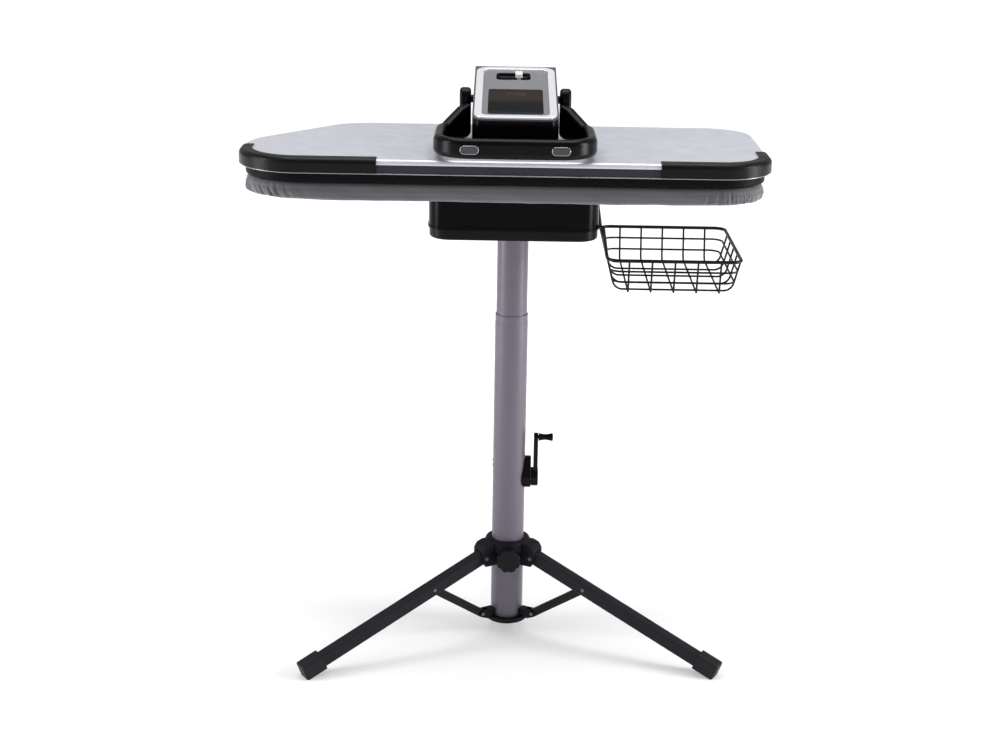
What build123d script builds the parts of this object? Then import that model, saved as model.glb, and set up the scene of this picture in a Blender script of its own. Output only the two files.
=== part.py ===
from build123d import *

import os
from math import asin, atan, atan2, cos, degrees, hypot, pi, radians, sin, tan

# Steam ironing press on a telescopic column with a folding tripod, closed and standing.
# Millimetres. +Z up, -Y towards the person at the press, +X to their right.
# The origin is on the floor, under the axis of the column.

# ---------------------------------------------------------------- driving dimensions
FIT = 0.05                  # radial clearance of a shaft that turns or slides in its hole

COLUMN_R = 30.0             # outer tube
COLUMN_WALL = 1.2
COLUMN_BOTTOM = 31.0
COLUMN_TOP = 610.0
MAST_R = 28.0               # inner tube
MAST_WALL = 1.5
MAST_BOTTOM = 240.0
MAST_TOP = 796.0
BUSH_FLANGE = 15.0          # height of the guide bush above the outer tube

STAND_TURN = 2.2            # the tripod is clamped this far round on the column, degrees
LEG_BEARINGS = {"left": 210, "right": -30, "rear": 90}   # degrees from +X about +Z
LEG_W = 22.0                # the leg is an inverted channel
LEG_H = 24.0
LEG_WALL = 1.8
LEG_PIVOT_R = 56.0
LEG_PIVOT_Z = 157.0
LEG_REACH = 405.0           # leg pivot to the end of the foot
FOOT_L = 42.0
FOOT_W = 30.0
FOOT_H = 32.0
SOLE_CUT = 3.0              # depth of the flat ground on the foot's lower corner
BRACE_ON_LEG = 116.7        # leg pivot to the brace rivet
HUB_PIN_R = 57.0
HUB_PIN_Z = 40.0
BRACE_W = 15.0
BRACE_T = 8.0

COLLAR_R = 34.0             # below its rim
COLLAR_RIM_R = 42.0
COLLAR_LOW = 141.0
COLLAR_HIGH = 187.0
KNOB_Z = 158.0
KNOB_R = 22.0

CRANK_Z = 308.0
CRANK_ARM = 78.5            # shaft to grip
GEAR_MODULE = 1.5
PINION_TEETH = 14
PINION_R = GEAR_MODULE * PINION_TEETH / 2
RACK_LOW = 246.0
RACK_HIGH = 470.0

BASE_X = 147.0              # half width of the base housing
BASE_FRONT = -140.0
BASE_REAR = 150.0
BASE_CORNER = 38.0
TRAY_LOW = 790.0
BASE_LOW = 808.0
BASE_HIGH = 865.0
SHELL = 3.0                 # wall of the moulded housings

BOARD_Z = 865.0             # underside of the board pan
BOARD_T = 3.0
PAD_TOP = 893.3
SHOE_Z = 894.8              # sole of the heated shoe
SHOE_TOP = 911.0
PLATE_SKIRT_TOP = 927.0
PLATE_TOP = 936.0

# Plan of the heated plate, anticlockwise from the front left corner, with corner radii.
PLATE_CORNERS = [(-472, -182), (437, -182), (437, 206), (-313, 206), (-472, 6)]
PLATE_RADII = [105, 88, 82, 95, 120]
PAD_INSET = 10.0

HINGE_Y = 250.0
HINGE_Z = 885.0

CONSOLE_X = 74.0
CONSOLE_FRONT = -125.0
CONSOLE_REAR = 176.0
CONSOLE_LOW = 946.0
CONSOLE_FRONT_TOP = 998.0
CONSOLE_REAR_TOP = 1048.0
NECK_X = 56.0
COVER_T = 3.0
SLOPE = degrees(atan2(CONSOLE_REAR_TOP - CONSOLE_FRONT_TOP, CONSOLE_REAR - CONSOLE_FRONT))

HANDLE_PIVOT_Y = 40.0
HANDLE_PIVOT_Z = 1008.0
HANDLE_LOW = 943.5
HANDLE_HIGH = 977.5
HANDLE_X = 128.0             # middle of the side bars
HANDLE_FRONT = -212.0
BUTTON_X = 76.0
BUTTON_Z = 960.0

BASKET_LEFT = 163.0
BASKET_RIGHT = 394.0
BASKET_FRONT = -150.0
BASKET_REAR = 122.0
BASKET_RIM_Z = 762.0
BASKET_FLOOR_Z = 704.0
BASKET_TAPER = 14.0         # each side leans in by this much from rim to floor
RIM_WIRE = 6.0
THIN_WIRE = 3.6

os.makedirs("parts", exist_ok=True)
names = []


def keep(piece, name):
    """Label a finished piece and write it."""
    piece.part.label = name
    export_step(piece.part, f"parts/{name}.step")
    names.append(name)


# ---------------------------------------------------------------- column and lower hub
def leg_plane(bearing):
    """The upright plane through the column axis and one leg: x outwards, y up."""
    turn = radians(bearing + STAND_TURN)
    return Plane(origin=(0, 0, 0), x_dir=(cos(turn), sin(turn), 0), z_dir=(sin(turn), -cos(turn), 0))


def tangent_pin(plane, radius_out, height, pin_r, half_length, head_r, head_t):
    """A riveted pin across a leg plane, with a head at each end."""
    at = plane.from_local_coords((radius_out, height))
    for side in (-1, 1):
        pin = Plane(origin=at, x_dir=plane.x_dir, z_dir=plane.z_dir * side)
        with BuildSketch(pin) as shank:
            Circle(pin_r)
        extrude(shank.sketch, amount=half_length)
        with BuildSketch(pin.offset(half_length)) as head:
            Circle(head_r)
        extrude(head.sketch, amount=head_t, taper=25)


with BuildPart() as outer_tube:
    with BuildSketch(Plane.XY.offset(COLUMN_BOTTOM)):
        Circle(COLUMN_R)
        Circle(COLUMN_R - COLUMN_WALL, mode=Mode.SUBTRACT)
    extrude(amount=COLUMN_TOP - COLUMN_BOTTOM)
    # shaft hole in the right wall, rivet holes in the left wall
    with BuildSketch(Plane(origin=(0, 0, CRANK_Z), x_dir=(0, 1, 0), z_dir=(1, 0, 0))):
        Circle(8)
    extrude(amount=COLUMN_R + 5, mode=Mode.SUBTRACT)
    with BuildSketch(Plane(origin=(0, 0, CRANK_Z + 27), x_dir=(0, 1, 0), z_dir=(-1, 0, 0))):
        with GridLocations(0, 10, 1, 2):
            Circle(2)
    extrude(amount=COLUMN_R + 5, mode=Mode.SUBTRACT)
keep(outer_tube, "outer_tube")

with BuildPart() as tube_bush:
    # sleeve inside the outer tube, and the collar that stands on its end
    with BuildSketch(Plane.XY.offset(COLUMN_TOP - 60)):
        Circle(COLUMN_R - COLUMN_WALL)
        Circle(MAST_R + FIT, mode=Mode.SUBTRACT)
    extrude(amount=60)
    with BuildSketch(Plane.XY.offset(COLUMN_TOP)):
        Circle(COLUMN_R - 0.3)
        Circle(MAST_R + FIT, mode=Mode.SUBTRACT)
    extrude(amount=BUSH_FLANGE)
    chamfer(tube_bush.edges().filter_by(GeomType.CIRCLE).sort_by(Axis.Z)[-1], 0.8)
keep(tube_bush, "tube_bush")

with BuildPart() as housing_rivets:
    for height in (CRANK_Z + 22, CRANK_Z + 32):
        rivet = Plane(origin=(0, 0, height), x_dir=(0, 1, 0), z_dir=(-1, 0, 0))
        with BuildSketch(rivet.offset(COLUMN_R - COLUMN_WALL + 0.1)):
            Circle(2)
        extrude(amount=COLUMN_WALL + 0.4)
        with BuildSketch(rivet.offset(COLUMN_R + 0.3)):
            Circle(3)
        extrude(amount=1.2, taper=25)
keep(housing_rivets, "housing_rivets")

HUB_EAR = 7.5               # half width over a hub bracket's ears
HUB_GAP = BRACE_T / 2 + 0.4
with BuildPart() as lower_hub:
    with BuildSketch(Plane.XY.offset(22)):
        Circle(39.5)
    extrude(amount=COLUMN_BOTTOM - 22)
    fillet(lower_hub.edges().filter_by(GeomType.CIRCLE), 1.5)
    # spigot plugged into the tube
    with BuildSketch(Plane.XY.offset(COLUMN_BOTTOM)):
        Circle(COLUMN_R - COLUMN_WALL - 0.02)
        Circle(COLUMN_R - COLUMN_WALL - 4, mode=Mode.SUBTRACT)
    extrude(amount=22)
    for bearing in LEG_BEARINGS.values():
        with BuildSketch(leg_plane(bearing)):
            Polygon((31, 29), (48, 29), (HUB_PIN_R + 5, 35), (HUB_PIN_R + 5, 44), (HUB_PIN_R - 2, 47),
                    (31, 47), align=None)
        extrude(amount=HUB_EAR, both=True)
        with BuildSketch(leg_plane(bearing)):
            Rectangle(40, 40, align=(Align.MIN, Align.MIN))
            Polygon((44, 20), (90, 20), (90, 90), (44, 90), align=None, mode=Mode.REPLACE)
        extrude(amount=HUB_GAP, both=True, mode=Mode.SUBTRACT)
        with BuildSketch(leg_plane(bearing)):
            with Locations((HUB_PIN_R, HUB_PIN_Z)):
                Circle(2.5)
        extrude(amount=20, both=True, mode=Mode.SUBTRACT)
    # the brackets stop at the tube wall
    with BuildSketch(Plane.XY.offset(COLUMN_BOTTOM)):
        Circle(COLUMN_R + 0.02)
        Circle(COLUMN_R - COLUMN_WALL - 0.02, mode=Mode.SUBTRACT)
    extrude(amount=40, mode=Mode.SUBTRACT)
keep(lower_hub, "lower_hub")

with BuildPart() as hub_pins:
    for bearing in LEG_BEARINGS.values():
        tangent_pin(leg_plane(bearing), HUB_PIN_R, HUB_PIN_Z, 2.48, HUB_EAR, 3.8, 1.2)
keep(hub_pins, "hub_pins")


# ---------------------------------------------------------------- leg collar and its knob
PIVOT_PIN_R = 3.0
EAR_OUT = 17.0              # half width over a collar socket's ears
EAR_IN = LEG_W / 2 + 0.5

knob_plane = Plane(leg_plane(-90).origin + Vector(0, 0, KNOB_Z), x_dir=leg_plane(0).x_dir,
                   z_dir=leg_plane(-90).x_dir)

with BuildPart() as leg_collar:
    with BuildSketch(Plane.XY.offset(COLLAR_LOW)):
        Circle(COLLAR_R)
    extrude(amount=COLLAR_HIGH - COLLAR_LOW)
    with BuildSketch(Plane.XY.offset(COLLAR_HIGH - 20)):
        Circle(COLLAR_RIM_R)
    extrude(amount=20)
    fillet(leg_collar.edges().filter_by(GeomType.CIRCLE).sort_by(Axis.Z)[-1], 5)
    for bearing in LEG_BEARINGS.values():
        with BuildSketch(leg_plane(bearing)):
            Polygon((20, 141), (58, 141), (64, 150), (64, 172), (58, 181), (47, 185), (20, 185),
                    align=None)
        extrude(amount=EAR_OUT, both=True)
    hood_edges = leg_collar.edges().filter_by(GeomType.LINE).filter_by(lambda e: e.center().Z > 160)
    fillet(hood_edges.filter_by(lambda e: abs(e.length - 2 * EAR_OUT) < 0.1), 3)
    for bearing in LEG_BEARINGS.values():
        with BuildSketch(leg_plane(bearing)):
            Polygon((COLLAR_R + 1, 120), (90, 120), (90, 170.5), (COLLAR_R + 1, 170.5), align=None)
        extrude(amount=EAR_IN, both=True, mode=Mode.SUBTRACT)
        with BuildSketch(leg_plane(bearing)):
            with Locations((LEG_PIVOT_R, LEG_PIVOT_Z)):
                Circle(PIVOT_PIN_R + 0.02)
        extrude(amount=30, both=True, mode=Mode.SUBTRACT)
    with BuildSketch(knob_plane.offset(COLUMN_R)):
        Circle(13)
    extrude(amount=12.5)
    with BuildSketch(knob_plane.offset(20)):
        Circle(4 + FIT)
    extrude(amount=30, mode=Mode.SUBTRACT)
    with BuildSketch(Plane.XY.offset(COLLAR_LOW - 5)):
        Circle(COLUMN_R + 0.1)
    extrude(amount=80, mode=Mode.SUBTRACT)
keep(leg_collar, "leg_collar")

with BuildPart() as collar_pins:
    for bearing in LEG_BEARINGS.values():
        tangent_pin(leg_plane(bearing), LEG_PIVOT_R, LEG_PIVOT_Z, PIVOT_PIN_R, EAR_OUT, 3.8, 1.0)
keep(collar_pins, "collar_pins")

with BuildPart() as clamp_knob:
    with BuildSketch(knob_plane.offset(43.5)):
        Circle(KNOB_R)
        with PolarLocations(KNOB_R + 3.4, 8):
            Circle(5.5, mode=Mode.SUBTRACT)
    extrude(amount=17)
    chamfer(clamp_knob.faces().sort_by(Axis(knob_plane.origin, knob_plane.z_dir))[-1].edges(), 1.2)
    with BuildSketch(knob_plane.offset(COLUMN_R + 0.6)):
        Circle(4)
    extrude(amount=14)
keep(clamp_knob, "clamp_knob")


# ---------------------------------------------------------------- legs, feet and braces
# The leg drops from its pivot so that the ground corner of the foot lies on the floor.
LEG_ANGLE = (degrees(asin((LEG_PIVOT_Z + SOLE_CUT) / hypot(LEG_REACH, FOOT_H / 2)))
             - degrees(atan(FOOT_H / 2 / LEG_REACH)))
leg_end = radians(LEG_ANGLE)
joint_r = LEG_PIVOT_R + BRACE_ON_LEG * cos(leg_end)
joint_z = LEG_PIVOT_Z - BRACE_ON_LEG * sin(leg_end)
BRACE_ANGLE = degrees(atan2(joint_z - HUB_PIN_Z, joint_r - HUB_PIN_R))
BRACE_L = hypot(joint_z - HUB_PIN_Z, joint_r - HUB_PIN_R)
RIVET_R = 2.5


def bar_plane(bearing, radius_out, height, drop):
    """The leg plane moved to a pivot and turned, so that x runs along a bar dropping by an angle."""
    upright = leg_plane(bearing)
    out = upright.x_dir
    along = Vector(out.X * cos(radians(drop)), out.Y * cos(radians(drop)), -sin(radians(drop)))
    return Plane(origin=upright.from_local_coords((radius_out, height)), x_dir=along,
                 z_dir=upright.z_dir)


def build_leg(side, bearing):
    bar = bar_plane(bearing, LEG_PIVOT_R, LEG_PIVOT_Z, LEG_ANGLE)
    length = LEG_REACH - 6
    with BuildPart() as leg:
        with BuildSketch(bar):
            Circle(LEG_H / 2)
            Rectangle(length, LEG_H, align=(Align.MIN, Align.CENTER))
        extrude(amount=LEG_W / 2, both=True)
        top_edges = leg.edges().filter_by(Axis(bar.origin, bar.x_dir))
        fillet(top_edges.sort_by(Axis(bar.origin, bar.y_dir))[-2:], 3)
        with BuildSketch(bar):
            Polygon((-30, -30), (length + 5, -30), (length + 5, LEG_H / 2 - LEG_WALL),
                    (-30, LEG_H / 2 - LEG_WALL), align=None)
        extrude(amount=LEG_W / 2 - LEG_WALL, both=True, mode=Mode.SUBTRACT)
        with BuildSketch(bar):
            Circle(PIVOT_PIN_R + FIT)
            with Locations((BRACE_ON_LEG, 0)):
                Circle(RIVET_R + 0.02)
        extrude(amount=LEG_W, both=True, mode=Mode.SUBTRACT)
    keep(leg, f"leg_{side}")

    with BuildPart() as foot:
        with BuildSketch(bar):
            with Locations((LEG_REACH - FOOT_L, 0)):
                Rectangle(FOOT_L, FOOT_H, align=(Align.MIN, Align.CENTER))
        extrude(amount=FOOT_W / 2, both=True)
        fillet(foot.edges().filter_by(Axis(bar.origin, bar.x_dir)), 5)
        fillet(foot.faces().sort_by(Axis(bar.origin, bar.x_dir))[-1].edges(), 3.5)
        with BuildSketch(bar):
            Rectangle(length + 0.05, LEG_H + 0.1, align=(Align.MIN, Align.CENTER))
        extrude(amount=LEG_W / 2 + 0.05, both=True, mode=Mode.SUBTRACT)
        with BuildSketch(Plane.XY):
            Rectangle(1200, 1200)
        extrude(amount=-40, mode=Mode.SUBTRACT)
    keep(foot, f"foot_{side}")

    with BuildPart() as rivets:
        for face in (-1, 1):
            outward = Plane(bar.from_local_coords((BRACE_ON_LEG, 0)), x_dir=bar.x_dir,
                            z_dir=bar.z_dir * face)
            with BuildSketch(outward.offset(LEG_W / 2 - LEG_WALL)):
                Circle(RIVET_R)
            extrude(amount=LEG_WALL)
            with BuildSketch(outward.offset(LEG_W / 2)):
                Circle(3.7)
            extrude(amount=1.2, taper=25)
    keep(rivets, f"brace_rivets_{side}")


def build_brace(side, bearing):
    bar = bar_plane(bearing, HUB_PIN_R, HUB_PIN_Z, -BRACE_ANGLE)
    with BuildPart() as brace:
        with BuildSketch(bar):
            with Locations((BRACE_L / 2, 0)):
                SlotCenterToCenter(BRACE_L, BRACE_W)
        extrude(amount=BRACE_T / 2, both=True)
        # shallow groove pressed into each side
        for face in (-1, 1):
            with BuildSketch(Plane(bar.origin, x_dir=bar.x_dir, z_dir=bar.z_dir * face).offset(BRACE_T / 2)):
                with Locations((BRACE_L / 2, 0)):
                    SlotCenterToCenter(BRACE_L - 34, 6)
            extrude(amount=-0.8, mode=Mode.SUBTRACT)
        with BuildSketch(bar):
            Circle(RIVET_R + FIT)
        extrude(amount=BRACE_T, both=True, mode=Mode.SUBTRACT)
    keep(brace, f"brace_{side}")


for side, bearing in LEG_BEARINGS.items():
    build_leg(side, bearing)
    build_brace(side, bearing)


# ---------------------------------------------------------------- crank, pinion and rack
crank_plane = Plane(origin=(0, 0, CRANK_Z), x_dir=(0, 1, 0), z_dir=(1, 0, 0))
SHAFT_R = 5.0
ADDENDUM = 0.9 * GEAR_MODULE
DEDENDUM = 1.25 * GEAR_MODULE
BACKLASH = 0.35
half_tooth = (pi * GEAR_MODULE / 2 - BACKLASH) / 2
flank = tan(radians(20))

with BuildPart() as crank_housing:
    with BuildSketch(crank_plane.offset(24)):
        Circle(20.5)
        with Locations((0, 28)):
            Circle(13)
        make_hull()
    extrude(amount=17)
    fillet(crank_housing.faces().sort_by(Axis.X)[-1].edges(), 2)
    with BuildSketch(Plane.XY.offset(CRANK_Z - 60)):
        Circle(COLUMN_R + 0.03)
    extrude(amount=130, mode=Mode.SUBTRACT)
    with BuildSketch(crank_plane):
        Circle(SHAFT_R + FIT)
    extrude(amount=60, mode=Mode.SUBTRACT)
keep(crank_housing, "crank_housing")

with BuildPart() as crank_shaft:
    with BuildSketch(crank_plane.offset(-12)):
        Circle(SHAFT_R)
    extrude(amount=64)
    # pinion cut in one piece with the shaft, a tooth space facing the rack
    with BuildSketch(crank_plane.offset(-6)):
        Circle(PINION_R - DEDENDUM)
        tooth_root = PINION_R - DEDENDUM - 0.6
        with PolarLocations(0, PINION_TEETH, start_angle=180 / PINION_TEETH):
            Polygon((tooth_root, -1.5), (PINION_R, -half_tooth), (PINION_R + ADDENDUM, -0.42),
                    (PINION_R + ADDENDUM, 0.42), (PINION_R, half_tooth), (tooth_root, 1.5), align=None)
    extrude(amount=12)
keep(crank_shaft, "crank_shaft")

with BuildPart() as crank_arm:
    with BuildSketch(crank_plane.offset(41.4)):
        Circle(17.5)
    extrude(amount=13.1)
    fillet(crank_arm.faces().sort_by(Axis.X)[-1].edges(), 2)
    with BuildSketch(crank_plane.offset(45.5)):
        Circle(11)
        with Locations((0, CRANK_ARM)):
            Circle(8)
        make_hull()
    extrude(amount=8)
    with BuildSketch(crank_plane.offset(50)):
        with Locations((0, CRANK_ARM)):
            Circle(3.5)
    extrude(amount=27.5)
    with BuildSketch(crank_plane.offset(40)):
        Circle(SHAFT_R + 0.02)
    extrude(amount=12.05, mode=Mode.SUBTRACT)
keep(crank_arm, "crank_arm")

with BuildPart() as crank_grip:
    grip_plane = Plane(origin=(54, 0, CRANK_Z + CRANK_ARM), x_dir=(1, 0, 0), z_dir=(0, -1, 0))
    with BuildSketch(grip_plane):
        with BuildLine():
            Polyline((0.4, 3.5 + FIT), (0.4, 7.4))
            Spline((0.4, 7.4), (6, 6.2), (14, 5.4), (21, 6.6), (25.5, 7.6))
            Polyline((25.5, 7.6), (27, 6), (27, 0), (24.2, 0), (24.2, 3.5 + FIT), (0.4, 3.5 + FIT))
        make_face()
    revolve(axis=Axis(grip_plane.origin, (1, 0, 0)))
keep(crank_grip, "crank_grip")

with BuildPart() as inner_tube:
    with BuildSketch(Plane.XY.offset(MAST_BOTTOM)):
        Circle(MAST_R)
        Circle(MAST_R - MAST_WALL, mode=Mode.SUBTRACT)
    extrude(amount=MAST_TOP - MAST_BOTTOM)
    # slot that passes the crank shaft, open at the tube's lower end
    with BuildSketch(Plane(origin=(0, 0, MAST_BOTTOM), x_dir=(0, 1, 0), z_dir=(1, 0, 0))):
        Rectangle(2 * SHAFT_R + 4, RACK_HIGH - MAST_BOTTOM, align=(Align.CENTER, Align.MIN))
    extrude(amount=COLUMN_R + 5, mode=Mode.SUBTRACT)
keep(inner_tube, "inner_tube")

with BuildPart() as gear_rack:
    rack_plane = Plane(origin=(-4, 0, CRANK_Z), x_dir=(0, 1, 0), z_dir=(1, 0, 0))
    tooth_pitch = pi * GEAR_MODULE
    with BuildSketch(rack_plane):
        root = PINION_R + DEDENDUM
        Polygon((root, RACK_LOW - CRANK_Z), (26, RACK_LOW - CRANK_Z), (26, RACK_HIGH - CRANK_Z),
                (root, RACK_HIGH - CRANK_Z), align=None)
        first = int((RACK_LOW - CRANK_Z) / tooth_pitch) + 1
        last = int((RACK_HIGH - CRANK_Z) / tooth_pitch) - 1
        for tooth in range(first, last + 1):
            wide = half_tooth + DEDENDUM * flank
            narrow = half_tooth - ADDENDUM * flank
            with Locations((0, tooth * tooth_pitch)):
                Polygon((root + 0.01, -wide), (root + 0.01, wide), (PINION_R - ADDENDUM, narrow),
                        (PINION_R - ADDENDUM, -narrow), align=None)
    extrude(amount=8)
keep(gear_rack, "gear_rack")


# ---------------------------------------------------------------- head mount and base
FLANGE = 55.0               # half side of the mounting flange
BOLT = 42.0                 # half spacing of its four bolts
BOLT_R = 3.0

with BuildPart() as mount_flange:
    with BuildSketch(Plane.XY.offset(MAST_TOP)):
        RectangleRounded(2 * FLANGE, 2 * FLANGE, 10)
        with GridLocations(2 * BOLT, 2 * BOLT, 2, 2):
            Circle(BOLT_R + 0.3, mode=Mode.SUBTRACT)
    extrude(amount=4)
    with BuildSketch(Plane.XY.offset(MAST_TOP - 56)):
        Circle(MAST_R - MAST_WALL - 0.02)
        Circle(MAST_R - MAST_WALL - 4, mode=Mode.SUBTRACT)
    extrude(amount=56)
keep(mount_flange, "mount_flange")

with BuildPart() as mount_bolts:
    with BuildSketch(Plane.XY.offset(MAST_TOP - 3.4)):
        with GridLocations(2 * BOLT, 2 * BOLT, 2, 2):
            RegularPolygon(5.2, 6)
    extrude(amount=3.4)
    with BuildSketch(Plane.XY.offset(MAST_TOP)):
        with GridLocations(2 * BOLT, 2 * BOLT, 2, 2):
            Circle(BOLT_R)
    extrude(amount=20)
keep(mount_bolts, "mount_bolts")


def base_outline(height, grow):
    """Plan of the base at one height, grown all round by a distance."""
    with BuildSketch(Plane.XY.offset(height)) as plan:
        with Locations((0, (BASE_FRONT + BASE_REAR) / 2)):
            RectangleRounded(2 * (BASE_X + grow), BASE_REAR - BASE_FRONT + 2 * grow, BASE_CORNER + grow)
    return plan.sketch


with BuildPart() as base_tray:
    extrude(base_outline(TRAY_LOW, -1), amount=BASE_LOW - TRAY_LOW)
    fillet(base_tray.faces().sort_by(Axis.Z)[0].edges(), 5)
    extrude(base_outline(TRAY_LOW + 2.5, -4), amount=40, mode=Mode.SUBTRACT)
    with BuildSketch(Plane.XY.offset(TRAY_LOW - 5)):
        Circle(MAST_R + 0.3)
    extrude(amount=20, mode=Mode.SUBTRACT)
keep(base_tray, "base_tray")

HOOK_Z = 812.5
HOOK_YS = (-112, 92)
GLAND_X = -90.0
GLAND_Z = 832.0
RECESS_X = 63.0
with BuildPart() as base_housing:
    extrude(base_outline(BASE_LOW, 0), amount=BASE_HIGH - BASE_LOW)
    extrude(base_outline(BASE_LOW, 1.5), amount=4)
    extrude(base_outline(BASE_LOW - 1, -SHELL), amount=BASE_HIGH - BASE_LOW - 6, mode=Mode.SUBTRACT)
    # bosses that stand on the mounting flange
    with BuildSketch(Plane.XY.offset(MAST_TOP + 4)):
        with GridLocations(2 * BOLT, 2 * BOLT, 2, 2):
            Circle(8)
    extrude(until=Until.NEXT)
    with BuildSketch(Plane.XY.offset(MAST_TOP + 4)):
        with GridLocations(2 * BOLT, 2 * BOLT, 2, 2):
            Circle(BOLT_R + 0.02)
    extrude(amount=18, mode=Mode.SUBTRACT)
    # two arched recesses in the front wall
    with BuildSketch(Plane(origin=(0, BASE_FRONT, BASE_LOW + 7), x_dir=(1, 0, 0), z_dir=(0, -1, 0))):
        with GridLocations(2 * RECESS_X, 0, 2, 1):
            Rectangle(60, 14, align=(Align.CENTER, Align.MIN))
            with Locations((0, 14)):
                Ellipse(30, 13)
    extrude(amount=-1.6, mode=Mode.SUBTRACT)
    # pocket for the hinge bracket
    with BuildSketch(Plane.XY.offset(BASE_HIGH - 4)):
        with Locations((0, -60)):
            Rectangle(122, 260, align=(Align.CENTER, Align.MIN))
    extrude(amount=10, mode=Mode.SUBTRACT)
    # sockets of the basket hooks, in the right wall
    with BuildSketch(Plane(origin=(BASE_X - 18, 0, HOOK_Z), x_dir=(0, 1, 0), z_dir=(1, 0, 0))):
        with Locations((HOOK_YS[0] + 10, 0), (HOOK_YS[1], 0)):
            Rectangle(26, 8.6)
    extrude(amount=16)
    with BuildSketch(Plane(origin=(BASE_X - 15, 0, HOOK_Z), x_dir=(0, 1, 0), z_dir=(1, 0, 0))):
        with Locations((HOOK_YS[0], 0), (HOOK_YS[1], 0)):
            Circle(RIM_WIRE / 2 + 0.06)
    extrude(amount=30, mode=Mode.SUBTRACT)
    # vent slots beside the right front corner
    with BuildSketch(Plane(origin=(BASE_X - 10, -92, 834), x_dir=(0, 1, 0), z_dir=(1, 0, 0))):
        with GridLocations(0, 6, 1, 3):
            SlotOverall(18, 2.6)
    extrude(amount=30, mode=Mode.SUBTRACT)
    with BuildSketch(Plane(origin=(GLAND_X, BASE_REAR - 10, GLAND_Z), x_dir=(1, 0, 0), z_dir=(0, 1, 0))):
        Circle(7.05)
    extrude(amount=30, mode=Mode.SUBTRACT)
keep(base_housing, "base_housing")

with BuildPart() as cable_gland:
    with BuildSketch(Plane(origin=(GLAND_X, BASE_REAR, GLAND_Z), x_dir=(0, 1, 0), z_dir=(-1, 0, 0))):
        Polygon((-8, 4), (-8, 9), (-3.1, 9), (-3.1, 7), (0.05, 7), (0.05, 11), (3, 11), (4, 8), (20, 6),
                (20, 4), align=None)
    revolve(axis=Axis((GLAND_X, BASE_REAR, GLAND_Z), (0, 1, 0)))
keep(cable_gland, "cable_gland")


# ---------------------------------------------------------------- ironing board
def plate_outline(height, inset):
    """Plan shared by the board and the heated plate, drawn in by a distance at one height."""
    with BuildSketch(Plane.XY.offset(height)) as plan:
        with BuildLine():
            FilletPolyline(*PLATE_CORNERS, radius=PLATE_RADII, close=True)
        make_face()
        if inset:
            offset(amount=-inset)
    return plan.sketch


COVER_OUT = PAD_INSET - 1.5
with BuildPart() as board_pan:
    extrude(plate_outline(BOARD_Z, PAD_INSET + 4), amount=BOARD_T)
    # holes that let the steam out
    with BuildSketch(Plane.XY.offset(BOARD_Z)):
        with GridLocations(96, 84, 8, 3):
            Circle(5)
    extrude(amount=BOARD_T, mode=Mode.SUBTRACT)
keep(board_pan, "board_pan")

with BuildPart() as foam_pad:
    extrude(plate_outline(BOARD_Z + BOARD_T, PAD_INSET), amount=PAD_TOP - 0.6 - BOARD_Z - BOARD_T)
    fillet(foam_pad.faces().sort_by(Axis.Z)[-1].edges(), 5)
keep(foam_pad, "foam_pad")

with BuildPart() as pad_cover:
    # fabric over the pad, round the board's edge and turned under it
    extrude(plate_outline(BOARD_Z - 1.4, COVER_OUT), amount=PAD_TOP - BOARD_Z + 1.4)
    fillet(pad_cover.faces().sort_by(Axis.Z)[-1].edges(), 6.5)
    extrude(plate_outline(BOARD_Z, PAD_INSET), amount=PAD_TOP - 0.6 - BOARD_Z - 6, mode=Mode.SUBTRACT)
    add(foam_pad.part, mode=Mode.SUBTRACT)
    extrude(plate_outline(BOARD_Z - 5, COVER_OUT + 26), amount=6, mode=Mode.SUBTRACT)
    # clear of the hinge bracket at the rear
    with BuildSketch(Plane.XY.offset(BOARD_Z - 5)):
        with Locations((0, 100)):
            Rectangle(126, 200, align=(Align.CENTER, Align.MIN))
    extrude(amount=5, mode=Mode.SUBTRACT)
keep(pad_cover, "pad_cover")


# ---------------------------------------------------------------- rear hinge
HINGE_PIN_R = 6.0
EAR_X = 47.0
EAR_T = 6.0
hinge_plane = Plane(origin=(0, HINGE_Y, HINGE_Z), x_dir=(0, 1, 0), z_dir=(1, 0, 0))

with BuildPart() as hinge_bracket:
    with BuildSketch(Plane.XY.offset(BASE_HIGH - 4)):
        with Locations((0, -58)):
            Rectangle(120, HINGE_Y + 18 + 58, align=(Align.CENTER, Align.MIN))
    extrude(amount=4)
    fillet(hinge_bracket.edges().filter_by(Axis.Z), 8)
    for side in (-1, 1):
        with BuildSketch(hinge_plane.offset(side * EAR_X)):
            Circle(18)
            Rectangle(36, HINGE_Z - BASE_HIGH + 2, align=(Align.CENTER, Align.MAX))
        extrude(amount=EAR_T / 2, both=True)
    with BuildSketch(hinge_plane):
        Circle(HINGE_PIN_R + 0.02)
    extrude(amount=80, both=True, mode=Mode.SUBTRACT)
keep(hinge_bracket, "hinge_bracket")

with BuildPart() as hinge_pin:
    with BuildSketch(hinge_plane):
        Circle(HINGE_PIN_R)
    extrude(amount=EAR_X + EAR_T / 2 + 3, both=True)
    for side in (-1, 1):
        with BuildSketch(hinge_plane.offset(side * (EAR_X + EAR_T / 2 + 1.6))):
            Circle(9)
        extrude(amount=1.5, both=True)
    chamfer(hinge_pin.faces().filter_by(Axis.X).sort_by(Axis.X)[-1].edges(), 0.8)
keep(hinge_pin, "hinge_pin")

SPRING_R = 9.6
with BuildPart() as hinge_springs:
    # two coils round the hinge pin that balance the weight of the arm
    for side in (-1, 1):
        with BuildLine():
            coil = Helix(pitch=3.0, height=21, radius=SPRING_R,
                         center=(side * 22 - 10.5, HINGE_Y, HINGE_Z), direction=(1, 0, 0))
        with BuildSketch(Plane(origin=coil @ 0, z_dir=coil % 0)):
            Circle(1.2)
        sweep(path=coil, is_frenet=True)
keep(hinge_springs, "hinge_springs")


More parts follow.
